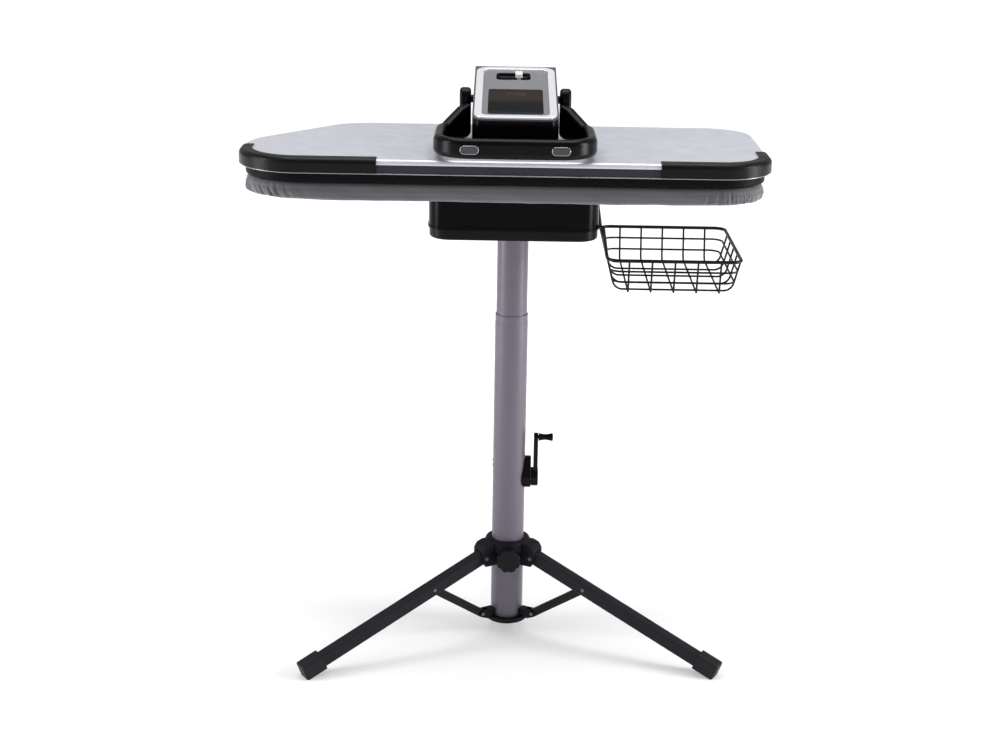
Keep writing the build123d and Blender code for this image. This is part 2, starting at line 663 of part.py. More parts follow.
# ---------------------------------------------------------------- wire basket
def lean(height):
    """How far the basket's walls stand in from the rim at a height."""
    return BASKET_TAPER * (BASKET_RIM_Z - height) / (BASKET_RIM_Z - BASKET_FLOOR_Z)


def wire(route, radii, thickness, closed=False):
    """One bent wire: straight runs with rounded corners."""
    with BuildLine() as path:
        FilletPolyline(*route, radius=radii, close=closed)
    start = path.line @ 0
    with BuildSketch(Plane(origin=start, z_dir=path.line % 0)) as section:
        Circle(thickness / 2)
    sweep(section.sketch, path=path.line, transition=Transition.ROUND)


def basket_ring(height, thickness, corner):
    inward = lean(height)
    left = BASKET_LEFT + inward
    right = BASKET_RIGHT - inward
    front = BASKET_FRONT + inward
    rear = BASKET_REAR - inward
    middle = (left + right) / 2
    # the ring starts and ends in the middle of its rear run
    route = [(middle, rear, height), (left, rear, height), (left, front, height),
             (right, front, height), (right, rear, height), (middle + 0.01, rear, height)]
    wire(route, corner, thickness)


with BuildPart() as basket_rim:
    basket_ring(BASKET_RIM_Z, RIM_WIRE, 20)
    for hook_y in HOOK_YS:
        wire([(BASKET_LEFT, hook_y, BASKET_RIM_Z - 2), (BASKET_LEFT - 8, hook_y, HOOK_Z),
              (BASE_X - 13, hook_y, HOOK_Z)], 5.5, RIM_WIRE)
keep(basket_rim, "basket_rim")

CROSS_YS = [BASKET_FRONT + 22 + 50 * n for n in range(5)]
LONG_XS = [BASKET_LEFT + 37 + 39.5 * n for n in range(5)]
with BuildPart() as basket_wires:
    for height in (BASKET_RIM_Z - 20, BASKET_RIM_Z - 40):
        basket_ring(height, THIN_WIRE, 20)
    for cross_y in CROSS_YS:
        floor = BASKET_FLOOR_Z + 2.6
        wire([(BASKET_LEFT, cross_y, BASKET_RIM_Z - 1), (BASKET_LEFT + BASKET_TAPER, cross_y, floor),
              (BASKET_RIGHT - BASKET_TAPER, cross_y, floor), (BASKET_RIGHT, cross_y, BASKET_RIM_Z - 1)],
             18, THIN_WIRE)
    for long_x in LONG_XS:
        wire([(long_x, BASKET_REAR, BASKET_RIM_Z - 1), (long_x, BASKET_REAR - BASKET_TAPER, BASKET_FLOOR_Z),
              (long_x, BASKET_FRONT + BASKET_TAPER, BASKET_FLOOR_Z), (long_x, BASKET_FRONT, BASKET_RIM_Z - 1)],
             [15, 3], THIN_WIRE)
keep(basket_wires, "basket_wires")


# ---------------------------------------------------------------- press arm and console
CHEEK_IN = 36.0
CHEEK_T = 4.0
slope_plane = Plane(origin=(0, CONSOLE_FRONT, CONSOLE_FRONT_TOP), x_dir=(1, 0, 0),
                    z_dir=(0, -sin(radians(SLOPE)), cos(radians(SLOPE))))
SLOPE_L = hypot(CONSOLE_REAR - CONSOLE_FRONT, CONSOLE_REAR_TOP - CONSOLE_FRONT_TOP)
side_plane = Plane(origin=(0, 0, 0), x_dir=(0, 1, 0), z_dir=(1, 0, 0))
CONSOLE_CORNER = 24.0
HANDLE_PIN_R = 4.0

with BuildPart() as arm_frame:
    for side in (-1, 1):
        with BuildSketch(side_plane.offset(side * (CHEEK_IN + CHEEK_T / 2))):
            with Locations((HINGE_Y, HINGE_Z)):
                Circle(15)
            Polygon((HINGE_Y - 15, HINGE_Z), (HINGE_Y + 15, HINGE_Z), (HINGE_Y + 15, 966),
                    (HINGE_Y + 3, 979), (-60, 979), (-60, 950), (HINGE_Y - 15, 950), align=None)
            with Locations((HINGE_Y, HINGE_Z)):
                Circle(HINGE_PIN_R + FIT, mode=Mode.SUBTRACT)
        extrude(amount=CHEEK_T / 2, both=True)
    # cross plate over the plate hanger, and a tie bar behind
    with BuildSketch(Plane.XY.offset(950)):
        with Locations((0, -60)):
            Rectangle(2 * CHEEK_IN + 2, 210, align=(Align.CENTER, Align.MIN))
    extrude(amount=4)
    with BuildSketch(side_plane):
        with Locations((HINGE_Y - 4, 940)):
            Circle(5)
    extrude(amount=CHEEK_IN + 1, both=True)
keep(arm_frame, "arm_frame")

NECK_ROOF = [(CONSOLE_REAR - 8, 1044), (236, 1028), (270, 986), (276, 905)]
with BuildPart() as arm_housing:
    with BuildSketch(side_plane):
        Polygon((CONSOLE_FRONT, CONSOLE_LOW), (CONSOLE_FRONT, CONSOLE_FRONT_TOP),
                (CONSOLE_REAR, CONSOLE_REAR_TOP), (CONSOLE_REAR, CONSOLE_LOW), align=None)
    extrude(amount=CONSOLE_X, both=True)
    front_corners = arm_housing.edges().filter_by(Axis.Z).group_by(Axis.Y)[0]
    fillet(front_corners, CONSOLE_CORNER)
    fillet(arm_housing.faces().sort_by(Axis.Z)[0].edges(), 3)
    with BuildSketch(side_plane):
        Polygon(*NECK_ROOF, (224, 905), (224, CONSOLE_LOW), (CONSOLE_REAR - 8, CONSOLE_LOW), align=None)
    extrude(amount=NECK_X, both=True)
    # hollow of the console, open at the top under the cover
    with BuildSketch(Plane.XY.offset(CONSOLE_LOW + SHELL)):
        with Locations((0, CONSOLE_FRONT + SHELL)):
            Rectangle(2 * (CONSOLE_X - SHELL), CONSOLE_REAR - CONSOLE_FRONT - 2 * SHELL,
                      align=(Align.CENTER, Align.MIN))
        fillet(vertices().group_by(Axis.Y)[0], CONSOLE_CORNER - SHELL)
    extrude(amount=120, mode=Mode.SUBTRACT)
    with BuildSketch(slope_plane.offset(-COVER_T)):
        with Locations((0, -20)):
            Rectangle(200, SLOPE_L + 40 - 10, align=(Align.CENTER, Align.MIN))
    extrude(amount=80, mode=Mode.SUBTRACT)
    # hollow of the neck, open below round the hinge lugs
    with BuildSketch(side_plane):
        Polygon((CONSOLE_REAR - 12, 1026), (CONSOLE_REAR + 2, 1035), (234, 1023.5), (267, 984),
                (273, 900), (227, 900), (227, CONSOLE_LOW + SHELL), (CONSOLE_REAR - 12, CONSOLE_LOW + SHELL),
                align=None)
    extrude(amount=NECK_X - SHELL, both=True, mode=Mode.SUBTRACT)
    # opening over the plate hanger
    with BuildSketch(Plane.XY.offset(CONSOLE_LOW - 1)):
        with Locations((0, 10)):
            Rectangle(74, 112)
    extrude(amount=6, mode=Mode.SUBTRACT)
    with BuildSketch(side_plane):
        with Locations((HANDLE_PIVOT_Y, HANDLE_PIVOT_Z)):
            Circle(HANDLE_PIN_R + 0.02)
    extrude(amount=100, both=True, mode=Mode.SUBTRACT)
keep(arm_housing, "arm_housing")


# ---------------------------------------------------------------- control panel on the sloping cover
def slope_rectangle(width, front, rear, corner, centre_x=0.0, mode=Mode.ADD):
    """A rounded rectangle on the slope, between two distances up from its front edge."""
    with Locations((centre_x, (front + rear) / 2)):
        RectangleRounded(width, rear - front, corner, mode=mode)


with BuildPart() as arm_cover:
    with BuildSketch(slope_plane.offset(-COVER_T)):
        outline = Rectangle(2 * CONSOLE_X, SLOPE_L, align=(Align.CENTER, Align.MIN))
        fillet(outline.vertices().group_by(Axis.Y)[0], CONSOLE_CORNER)
        slope_rectangle(110, 17, 275, 8, mode=Mode.SUBTRACT)
    extrude(amount=COVER_T)
keep(arm_cover, "arm_cover")

with BuildPart() as panel_bezel:
    with BuildSketch(slope_plane):
        slope_rectangle(142, 1, 291, CONSOLE_CORNER)
        slope_rectangle(116, 14, 278, 11, mode=Mode.SUBTRACT)
    extrude(amount=3.5)
    up_slope = Axis(slope_plane.origin, slope_plane.z_dir)
    fillet(panel_bezel.faces().sort_by(up_slope)[-1].edges(), 1.2)
keep(panel_bezel, "panel_bezel")

with BuildPart() as control_panel:
    with BuildSketch(slope_plane):
        slope_rectangle(115.6, 14.2, 277.8, 10.8)
        slope_rectangle(62, 219, 262, 8, centre_x=-4, mode=Mode.SUBTRACT)
        slope_rectangle(96, 24.2, 163.6, 6.2, mode=Mode.SUBTRACT)
    extrude(amount=1.2)
keep(control_panel, "control_panel")

with BuildPart() as display_glass:
    with BuildSketch(slope_plane.offset(-1)):
        slope_rectangle(95.6, 24.4, 163.4, 6)
    extrude(amount=2.4)
keep(display_glass, "display_glass")

with BuildPart() as control_board:
    with BuildSketch(slope_plane.offset(-12)):
        slope_rectangle(100, 20, 170, 2)
    extrude(amount=1.6)
    with Locations(slope_plane.offset(-10.4)):
        with Locations((-30, 60), (28, 60), (0, 120)):
            Box(18, 14, 4, align=(Align.CENTER, Align.CENTER, Align.MIN))
keep(control_board, "control_board")

with BuildPart() as slider_knob:
    with BuildSketch(slope_plane.offset(1.6)):
        slope_rectangle(13, 230, 252, 3, centre_x=6)
    extrude(amount=6.4)
    with BuildSketch(slope_plane.offset(-5)):
        slope_rectangle(6, 234, 248, 2, centre_x=6)
    extrude(amount=7)
keep(slider_knob, "slider_knob")

# ---------------------------------------------------------------- inside the console
with BuildPart() as water_tank:
    with BuildSketch(Plane.XY.offset(981)):
        with Locations((0, 115)):
            RectangleRounded(132, 106, 12)
    extrude(amount=34)
    fillet(water_tank.edges().filter_by(Axis.Z, reverse=True), 5)
keep(water_tank, "water_tank")

with BuildPart() as water_pump:
    with BuildSketch(Plane(origin=(0, -50, 969), x_dir=(1, 0, 0), z_dir=(0, 1, 0))):
        Circle(14)
    extrude(amount=50)
    with BuildSketch(Plane(origin=(0, -62, 969), x_dir=(1, 0, 0), z_dir=(0, 1, 0))):
        Circle(4)
    extrude(amount=14)
keep(water_pump, "water_pump")

# ---------------------------------------------------------------- handle
HANDLE_T = 20.0
HANDLE_MID = (HANDLE_LOW + HANDLE_HIGH) / 2
EAR_CENTRE_X = 89.0
HANDLE_EAR_T = 20.0
FLARE_REAR = 2.0            # the side bars spread apart between these two places
FLARE_FRONT = -46.0
handle_path_plane = Plane.XY.offset(HANDLE_MID)

with BuildPart() as handle_ear:
    with BuildSketch(side_plane):
        with Locations((HANDLE_PIVOT_Y, 1012)):
            Circle(16)
        with Locations((41, 957)):
            Rectangle(38, 26)
        make_hull()
    extrude(amount=HANDLE_EAR_T / 2, both=True)
    fillet(handle_ear.faces().filter_by(Axis.X).edges(), 6)

# each side bar deepens towards its ear
flare_run = hypot(HANDLE_X - EAR_CENTRE_X, FLARE_REAR - FLARE_FRONT)
with BuildPart() as handle_web:
    with BuildSketch(Plane.XZ):
        Polygon((-5, HANDLE_LOW + 12), (-5, 1004), (12, 1000), (flare_run - 5, HANDLE_HIGH - 3),
                (flare_run - 5, HANDLE_LOW + 12), align=None)
    extrude(amount=HANDLE_T / 2, both=True)
    fillet(handle_web.faces().filter_by(Axis.Z, reverse=True).sort_by(Axis.Z)[-2:].edges()
           .filter_by(Axis.Y, reverse=True), 7)

with BuildPart() as handle:
    with BuildLine(handle_path_plane) as loop:
        route = FilletPolyline((-EAR_CENTRE_X, 58), (-EAR_CENTRE_X, FLARE_REAR),
                               (-HANDLE_X, FLARE_FRONT), (-HANDLE_X, -202),
                               (HANDLE_X, -202), (HANDLE_X, FLARE_FRONT),
                               (EAR_CENTRE_X, FLARE_REAR), (EAR_CENTRE_X, 58),
                               radius=[30, 48, 52, 52, 48, 30])
    with BuildSketch(Plane(origin=(-EAR_CENTRE_X, 58, HANDLE_MID), x_dir=(1, 0, 0), z_dir=(0, -1, 0))):
        RectangleRounded(HANDLE_T, HANDLE_HIGH - HANDLE_LOW, 9.9)
    sweep(path=loop.wires()[0])
    for side in (-1, 1):
        with Locations((side * EAR_CENTRE_X, 0, 0)):
            add(handle_ear.part)
        flare_turn = degrees(atan2(FLARE_FRONT - FLARE_REAR, side * (HANDLE_X - EAR_CENTRE_X)))
        with Locations(Location((side * EAR_CENTRE_X, FLARE_REAR, 0), (0, 0, flare_turn))):
            add(handle_web.part)
        # blind hole for the pivot pin, open towards the console
        with BuildSketch(side_plane.offset(side * (CONSOLE_X + 4))):
            with Locations((HANDLE_PIVOT_Y, HANDLE_PIVOT_Z)):
                Circle(HANDLE_PIN_R + FIT)
        extrude(amount=side * 16, mode=Mode.SUBTRACT)
        with BuildSketch(Plane(origin=(side * BUTTON_X, HANDLE_FRONT, BUTTON_Z), x_dir=(1, 0, 0), z_dir=(0, -1, 0))):
            SlotOverall(28.6, 12.1)
        extrude(amount=-7, mode=Mode.SUBTRACT)
keep(handle, "handle")

for side, name in ((-1, "steam_button_left"), (1, "steam_button_right")):
    with BuildPart() as button:
        with BuildSketch(Plane(origin=(side * BUTTON_X, HANDLE_FRONT - 2.5, BUTTON_Z),
                               x_dir=(1, 0, 0), z_dir=(0, -1, 0))):
            SlotOverall(28, 11.5)
        extrude(amount=-7)
        fillet(button.faces().sort_by(Axis.Y)[0].edges(), 0.8)
    keep(button, name)

with BuildPart() as handle_pins:
    for side in (-1, 1):
        inside = side * (CONSOLE_X - SHELL)
        with BuildSketch(side_plane.offset(inside)):
            with Locations((HANDLE_PIVOT_Y, HANDLE_PIVOT_Z)):
                Circle(HANDLE_PIN_R)
        extrude(amount=side * 22)
        with BuildSketch(side_plane.offset(inside)):
            with Locations((HANDLE_PIVOT_Y, HANDLE_PIVOT_Z)):
                Circle(7)
        extrude(amount=-side * 3)
        # collar that spaces the handle off the console
        with BuildSketch(side_plane.offset(side * (CONSOLE_X + 0.1))):
            with Locations((HANDLE_PIVOT_Y, HANDLE_PIVOT_Z)):
                Circle(7)
        extrude(amount=side * 4.6)
keep(handle_pins, "handle_pins")

# ---------------------------------------------------------------- heated plate
with BuildPart() as plate_hanger:
    with BuildSketch(Plane.XY.offset(PLATE_TOP)):
        with Locations((0, 10)):
            RectangleRounded(68, 100, 6)
    extrude(amount=950 - PLATE_TOP)
keep(plate_hanger, "plate_hanger")

COVER_SHELL = 1.0
with BuildPart() as cover_hollow:
    extrude(plate_outline(PLATE_SKIRT_TOP, COVER_SHELL), amount=PLATE_TOP - PLATE_SKIRT_TOP - COVER_SHELL)
    fillet(cover_hollow.faces().sort_by(Axis.Z)[-1].edges(), 6)

with BuildPart() as plate_cover:
    extrude(plate_outline(PLATE_SKIRT_TOP, 0), amount=PLATE_TOP - PLATE_SKIRT_TOP)
    fillet(plate_cover.faces().sort_by(Axis.Z)[-1].edges(), 7)
    add(cover_hollow.part, mode=Mode.SUBTRACT)
keep(plate_cover, "plate_cover")

with BuildPart() as plate_skirt:
    extrude(plate_outline(SHOE_TOP, 0.4), amount=PLATE_SKIRT_TOP - SHOE_TOP)
    extrude(plate_outline(SHOE_TOP, 3), amount=PLATE_SKIRT_TOP - SHOE_TOP, mode=Mode.SUBTRACT)
    extrude(plate_outline(SHOE_TOP, 1), amount=2)
    extrude(plate_outline(SHOE_TOP, 14), amount=2, mode=Mode.SUBTRACT)
keep(plate_skirt, "plate_skirt")

SHOE_FLOOR = SHOE_Z + 5     # the shoe is a shallow casting, open at the top
with BuildPart() as heating_shoe:
    extrude(plate_outline(SHOE_Z, 7), amount=SHOE_TOP - SHOE_Z)
    fillet(heating_shoe.faces().sort_by(Axis.Z)[0].edges(), 4)
    extrude(plate_outline(SHOE_FLOOR, 16), amount=SHOE_TOP - SHOE_FLOOR, mode=Mode.SUBTRACT)
keep(heating_shoe, "heating_shoe")

ELEMENT_R = 4.0
ELEMENT_Z = SHOE_FLOOR + ELEMENT_R
with BuildPart() as heating_element:
    with BuildLine(Plane.XY.offset(ELEMENT_Z)) as element_route:
        FilletPolyline((-340, -80), (350, -80), (350, 90), (-260, 90), radius=60)
    with BuildSketch(Plane(origin=(-340, -80, ELEMENT_Z), x_dir=(0, 1, 0), z_dir=(1, 0, 0))):
        Circle(ELEMENT_R)
    sweep(path=element_route.wires()[0])
keep(heating_element, "heating_element")

GUARD_OUT = 4.0
GUARD_LOW = 913.5
with BuildPart() as guard_seat:
    extrude(plate_outline(GUARD_LOW, -0.05), amount=PLATE_TOP + 0.05 - GUARD_LOW)
    fillet(guard_seat.faces().sort_by(Axis.Z)[-1].edges(), 6.9)

for side, name, inner_x in ((-1, "corner_guard_left", -232), (1, "corner_guard_right", 245)):
    with BuildPart() as guard:
        extrude(plate_outline(GUARD_LOW, -GUARD_OUT), amount=938 - GUARD_LOW)
        fillet(guard.faces().sort_by(Axis.Z)[-1].edges(), 10)
        add(guard_seat.part, mode=Mode.SUBTRACT)
        extrude(plate_outline(GUARD_LOW, 19), amount=30, mode=Mode.SUBTRACT)
        with Locations((side * 400 + inner_x, -55, 925)):
            Box(800, 400, 60, align=(Align.CENTER, Align.MAX, Align.CENTER), mode=Mode.INTERSECT)
    keep(guard, name)

print(len(names), "pieces")
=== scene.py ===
"""Looks of a steam ironing press on a telescopic column with a folding tripod."""
from math import atan2, cos, pi, radians, sin

import bmesh
import bpy
import numpy as np
from mathutils import Matrix, Vector, noise


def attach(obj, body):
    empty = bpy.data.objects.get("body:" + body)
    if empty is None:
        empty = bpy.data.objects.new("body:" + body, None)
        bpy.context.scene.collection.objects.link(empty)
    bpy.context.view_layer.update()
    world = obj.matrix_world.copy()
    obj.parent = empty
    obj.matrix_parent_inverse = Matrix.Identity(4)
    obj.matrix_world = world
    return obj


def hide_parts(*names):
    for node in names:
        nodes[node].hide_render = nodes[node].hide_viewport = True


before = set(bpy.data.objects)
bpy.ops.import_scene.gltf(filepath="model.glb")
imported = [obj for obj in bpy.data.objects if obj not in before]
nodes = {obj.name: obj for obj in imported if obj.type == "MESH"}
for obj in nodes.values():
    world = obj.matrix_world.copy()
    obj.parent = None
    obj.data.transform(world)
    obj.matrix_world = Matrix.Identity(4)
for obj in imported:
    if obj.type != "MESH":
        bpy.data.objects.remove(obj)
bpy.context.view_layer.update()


# ---------------------------------------------------------------- materials
CLOTH_GREY = (0.082, 0.077, 0.089)


def new_material(name):
    """A material, its node tree, its shader and its texture coordinates."""
    material = bpy.data.materials.new(name)
    material.use_nodes = True
    tree = material.node_tree
    shader = next(n for n in tree.nodes if n.type == "BSDF_PRINCIPLED")
    place = tree.nodes.new("ShaderNodeTexCoord")
    return material, tree, shader, place


def grain(tree, place, scale, detail=3.0, stretch=(1, 1, 1)):
    """A noise texture in object space, finer along the larger components of stretch."""
    mapping = tree.nodes.new("ShaderNodeMapping")
    mapping.inputs["Scale"].default_value = stretch
    tree.links.new(place.outputs["Object"], mapping.inputs["Vector"])
    noise_node = tree.nodes.new("ShaderNodeTexNoise")
    noise_node.inputs["Scale"].default_value = scale
    noise_node.inputs["Detail"].default_value = detail
    tree.links.new(mapping.outputs["Vector"], noise_node.inputs["Vector"])
    return noise_node.outputs["Fac"]


def spread(tree, value, low, high):
    """Map a 0 to 1 value onto a range."""
    ramp = tree.nodes.new("ShaderNodeMapRange")
    ramp.inputs["From Min"].default_value = 0.3
    ramp.inputs["From Max"].default_value = 0.7
    ramp.inputs["To Min"].default_value = low
    ramp.inputs["To Max"].default_value = high
    tree.links.new(value, ramp.inputs["Value"])
    return ramp.outputs["Result"]


def tint(tree, value, dark, light):
    """Mix two colours by a 0 to 1 value."""
    mix = tree.nodes.new("ShaderNodeMix")
    mix.data_type = "RGBA"
    mix.inputs["A"].default_value = (*dark, 1)
    mix.inputs["B"].default_value = (*light, 1)
    tree.links.new(value, mix.inputs["Factor"])
    return mix.outputs["Result"]


def bump(tree, shader, height, distance, strength=1.0):
    """Relief on a shader from a 0 to 1 height."""
    node = tree.nodes.new("ShaderNodeBump")
    node.inputs["Distance"].default_value = distance
    node.inputs["Strength"].default_value = strength
    tree.links.new(height, node.inputs["Height"])
    tree.links.new(node.outputs["Normal"], shader.inputs["Normal"])


def scaled(colour, factor):
    return tuple(c * factor for c in colour)


def finish(name, colour, rough, metallic=0.0, coat=0.0, grain_scale=900, grain_depth=0.00002,
           stretch=(1, 1, 1), vary=0.12, rough_vary=0.06, specular=0.5):
    """A painted, plated or moulded surface: fine relief, and slow drifts of colour and gloss."""
    material, tree, shader, place = new_material(name)
    slow = grain(tree, place, 14, 2)
    tree.links.new(tint(tree, slow, scaled(colour, 1 - vary), scaled(colour, 1 + vary)),
                   shader.inputs["Base Color"])
    tree.links.new(spread(tree, grain(tree, place, 40, 3, stretch), rough - rough_vary, rough + rough_vary),
                   shader.inputs["Roughness"])
    shader.inputs["Metallic"].default_value = metallic
    shader.inputs["Coat Weight"].default_value = coat
    shader.inputs["Coat Roughness"].default_value = 0.06
    shader.inputs["Specular IOR Level"].default_value = specular
    bump(tree, shader, grain(tree, place, grain_scale, 2, stretch), grain_depth)
    return material


def cloth(name, colour):
    """Fine plain weave with sheen."""
    material, tree, shader, place = new_material(name)
    weave = []
    for stretch in ((1, 1, 0.4), (0.3, 0.3, 1)):
        wave = tree.nodes.new("ShaderNodeTexNoise")
        wave.inputs["Scale"].default_value = 1500
        wave.inputs["Detail"].default_value = 1
        mapping = tree.nodes.new("ShaderNodeMapping")
        mapping.inputs["Scale"].default_value = stretch
        tree.links.new(place.outputs["Object"], mapping.inputs["Vector"])
        tree.links.new(mapping.outputs["Vector"], wave.inputs["Vector"])
        weave.append(wave.outputs["Fac"])
    both = tree.nodes.new("ShaderNodeMath")
    both.operation = "MAXIMUM"
    for value, socket in zip(weave, both.inputs):
        tree.links.new(value, socket)
    threads = spread(tree, both.outputs[0], 0, 1)
    thread_colour = tint(tree, threads, scaled(colour, 0.78), scaled(colour, 1.2))
    tree.links.new(thread_colour, shader.inputs["Base Color"])
    shader.inputs["Roughness"].default_value = 0.78
    shader.inputs["Sheen Weight"].default_value = 0.35
    shader.inputs["Sheen Roughness"].default_value = 0.5
    bump(tree, shader, both.outputs[0], 0.00012, 0.6)
    return material


column_paint = finish("column_paint", (0.132, 0.118, 0.150), 0.40, metallic=0.35, grain_scale=2600,
                      grain_depth=0.00001, vary=0.05)
leg_paint = finish("leg_paint", (0.014, 0.0135, 0.0175), 0.42, grain_scale=1500, specular=0.12)
zinc_steel = finish("zinc_steel", (0.16, 0.155, 0.15), 0.42, metallic=1.0)
charcoal_plastic = finish("charcoal_plastic", (0.0085, 0.0084, 0.0105), 0.46, grain_scale=2200,
                          grain_depth=0.00005, specular=0.10)
black_plastic = finish("black_plastic", (0.0016, 0.0016, 0.002), 0.27, grain_scale=2400,
                       grain_depth=0.00003, specular=0.12)
handle_black = finish("handle_black", (0.0014, 0.0013, 0.0016), 0.25, grain_scale=2600,
                      grain_depth=0.00002, specular=0.12)
guard_black = finish("guard_black", (0.0032, 0.0031, 0.0038), 0.34, grain_scale=2200,
                     grain_depth=0.00004, specular=0.15)
gloss_black = finish("gloss_black", (0.0010, 0.0010, 0.0013), 0.15, grain_scale=60,
                     grain_depth=0.00003, rough_vary=0.03, specular=0.06)
black_wire = finish("black_wire", (0.0035, 0.0035, 0.004), 0.33, grain_scale=1200, specular=0.2)
dark_rubber = finish("dark_rubber", (0.010, 0.010, 0.012), 0.55, grain_scale=2600, grain_depth=0.00006,
                     specular=0.2)
plate_silver = finish("plate_silver", (0.62, 0.63, 0.695), 0.34, metallic=0.35, coat=0.10,
                      grain_scale=3200, grain_depth=0.000008, vary=0.015)
skirt_grey = finish("skirt_grey", (0.027, 0.0262, 0.034), 0.40, metallic=0.2, grain_scale=2400, specular=0.2)
shoe_sole = finish("shoe_aluminium", (0.002, 0.002, 0.0025), 0.5, metallic=0.1, specular=0.08)
foam = finish("foam", (0.55, 0.50, 0.36), 0.9, grain_scale=700, grain_depth=0.0004)
pad_cloth = cloth("pad_cloth", CLOTH_GREY)
pan_metal = finish("pan_metal", (0.55, 0.55, 0.57), 0.38, metallic=1.0, stretch=(1, 30, 30))
steel_bright = finish("steel_bright", (0.50, 0.50, 0.51), 0.3, metallic=1.0, stretch=(1, 8, 8))
bead_silver = finish("bead_silver", (0.30, 0.30, 0.33), 0.3, metallic=0.8, vary=0.1)
rim_silver = finish("rim_silver", (0.62, 0.62, 0.66), 0.22, metallic=1.0, vary=0.03)
console_grey = finish("console_grey", (0.070, 0.070, 0.080), 0.42, grain_scale=2400, specular=0.25)
bezel_silver = finish("bezel_silver", (0.86, 0.86, 0.90), 0.16, metallic=0.30, coat=0.7, vary=0.02)
panel_grey = finish("panel_grey", (0.19, 0.19, 0.205), 0.4, metallic=0.2, vary=0.04)
button_chrome = finish("button_chrome", (0.075, 0.074, 0.077), 0.26, metallic=0.9, vary=0.5)
display_dark = finish("display_dark", (0.006, 0.005, 0.005), 0.10, rough_vary=0.02, specular=0.03)
read_out = finish("read_out", (0.055, 0.050, 0.048), 0.4, vary=0.2)
board_green = finish("board_green", (0.02, 0.12, 0.05), 0.5)
tank_clear = finish("tank_clear", (0.50, 0.56, 0.62), 0.2)
pump_white = finish("pump_white", (0.6, 0.6, 0.6), 0.4)
knob_white = finish("knob_white", (0.75, 0.75, 0.77), 0.25, coat=0.4, vary=0.03)

# painted reflection: the display's base colour runs from bluish along its front edge to brownish towards the
# rear, standing in for reflections on the dark glass
GLASS_FRONT = -0.101
GLASS_REAR = 0.036
display_tree = display_dark.node_tree
display_shader = next(n for n in display_tree.nodes if n.type == "BSDF_PRINCIPLED")
display_place = next(n for n in display_tree.nodes if n.type == "TEX_COORD")
axes = display_tree.nodes.new("ShaderNodeSeparateXYZ")
display_tree.links.new(display_place.outputs["Object"], axes.inputs["Vector"])
along_glass = display_tree.nodes.new("ShaderNodeMapRange")
along_glass.inputs["From Min"].default_value = GLASS_FRONT
along_glass.inputs["From Max"].default_value = GLASS_REAR
display_tree.links.new(axes.outputs["Y"], along_glass.inputs["Value"])
# colour ramp of the painted reflection on the glass, from front edge to rear
glass_painted_reflection = display_tree.nodes.new("ShaderNodeValToRGB")
stops = glass_painted_reflection.color_ramp.elements
stops[0].position = 0.0
stops[0].color = (0.006, 0.022, 0.028, 1)
stops[1].position = 1.0
stops[1].color = (0.016, 0.011, 0.010, 1)
# painted reflection: bluish near the front edge, near black in the middle, brownish towards the rear
for position, colour in ((0.06, (0.008, 0.014, 0.016, 1)), (0.13, (0.003, 0.003, 0.004, 1)),
                         (0.45, (0.004, 0.0035, 0.004, 1)), (0.60, (0.022, 0.015, 0.012, 1))):
    stops.new(position).color = colour
display_tree.links.new(along_glass.outputs["Result"], glass_painted_reflection.inputs["Fac"])
display_tree.links.new(glass_painted_reflection.outputs["Color"], display_shader.inputs["Base Color"])

FINISHES = {
    column_paint: ("outer_tube", "inner_tube", "tube_bush"),
    leg_paint: ("leg_left", "leg_right", "leg_rear", "brace_left", "brace_right", "brace_rear"),
    zinc_steel: ("hub_pins", "collar_pins", "brace_rivets_left", "brace_rivets_right",
                 "brace_rivets_rear"),
    charcoal_plastic: ("lower_hub", "leg_collar", "clamp_knob", "gear_rack"),
    black_plastic: ("crank_housing", "crank_arm", "crank_grip", "mount_flange", "base_tray",
                    "handle_pins"),
    handle_black: ("handle",),
    guard_black: ("corner_guard_left", "corner_guard_right"),
    gloss_black: ("base_housing", "arm_housing"),
    button_chrome: ("steam_button_left", "steam_button_right"),
    black_wire: ("basket_rim", "basket_wires"),
    dark_rubber: ("foot_left", "foot_right", "foot_rear", "cable_gland"),
    plate_silver: ("plate_cover",),
    skirt_grey: ("plate_skirt",),
    shoe_sole: ("heating_shoe", "plate_hanger"),
    foam: ("foam_pad",),
    pad_cloth: ("pad_cover",),
    pan_metal: ("board_pan",),
    steel_bright: ("housing_rivets", "crank_shaft", "mount_bolts", "hinge_bracket", "hinge_pin",
                   "hinge_springs", "arm_frame", "heating_element"),
    console_grey: ("arm_cover",),
    bezel_silver: ("panel_bezel",),
    panel_grey: ("control_panel",),
    display_dark: ("display_glass",),
    board_green: ("control_board",),
    tank_clear: ("water_tank",),
    pump_white: ("water_pump",),
    knob_white: ("slider_knob",),
}
for material, names in FINISHES.items():
    for name in names:
        data = nodes[name].data
        data.materials.clear()
        data.materials.append(material)

# ---------------------------------------------------------------- mesh helpers
def add_piece(name, points, faces, material, body, smooth=True):
    """A mesh object that moves with a CAD body."""
    data = bpy.data.meshes.new(name)
    data.from_pydata([tuple(p) for p in points], [], faces)
    data.validate()
    data.materials.append(material)
    if smooth:
        data.shade_smooth()
    piece = bpy.data.objects.new(name, data)
    bpy.context.scene.collection.objects.link(piece)
    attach(piece, body)
    return piece


def grid_faces(rows, columns):
    """Quads between closed rows of points."""
    faces = []
    for row in range(rows - 1):
        for column in range(columns):
            ahead = (column + 1) % columns
            low = row * columns
            faces.append((low + column, low + ahead, low + columns + ahead, low + columns + column))
    return faces


